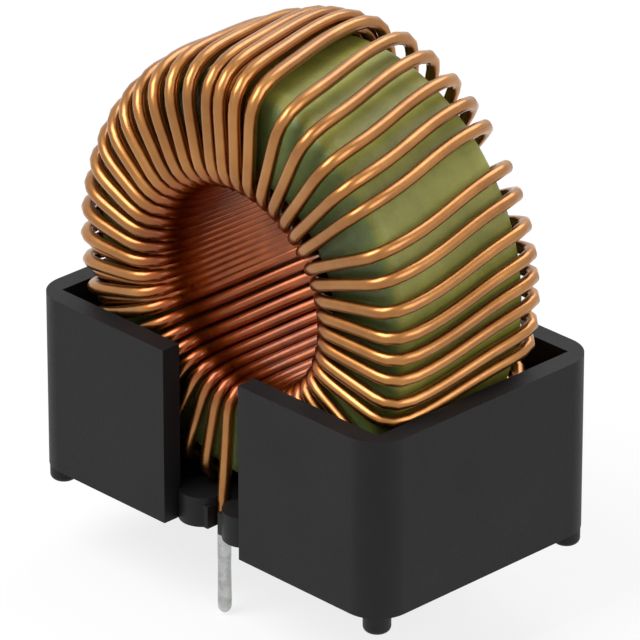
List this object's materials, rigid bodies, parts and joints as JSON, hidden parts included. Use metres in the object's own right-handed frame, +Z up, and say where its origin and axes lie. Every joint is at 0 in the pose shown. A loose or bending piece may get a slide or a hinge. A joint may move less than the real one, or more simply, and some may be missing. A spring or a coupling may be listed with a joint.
{
  "type": "toroidal inductor",
  "caption": "Upright toroidal inductor: a coated ring core wound with enamelled wire stands in an open-topped moulded header, with two tinned leads for a circuit board.",
  "frame": {"origin": "middle of the header's plan, on the plane of the undersides of its four standoff feet", "axes": "+Z upwards away from the circuit board, +X along the header's length, +Y along the ring's axis; the front lead is on the -Y side"},
  "size_m": [0.0308, 0.019, 0.0371],
  "materials": {
    "header_plastic": "moulded, fine matte texture",
    "core_coating": "sprayed coating over pressed powder, satin",
    "enamelled_wire": "clear enamel over copper, glossy",
    "tinned_wire": "dipped tin, satin"
  },
  "bodies": {
    "root": {"header": "header_plastic", "core": "core_coating", "winding": "enamelled_wire", "front_lead": "tinned_wire", "back_lead": "tinned_wire"}
  },
  "joints": []
}
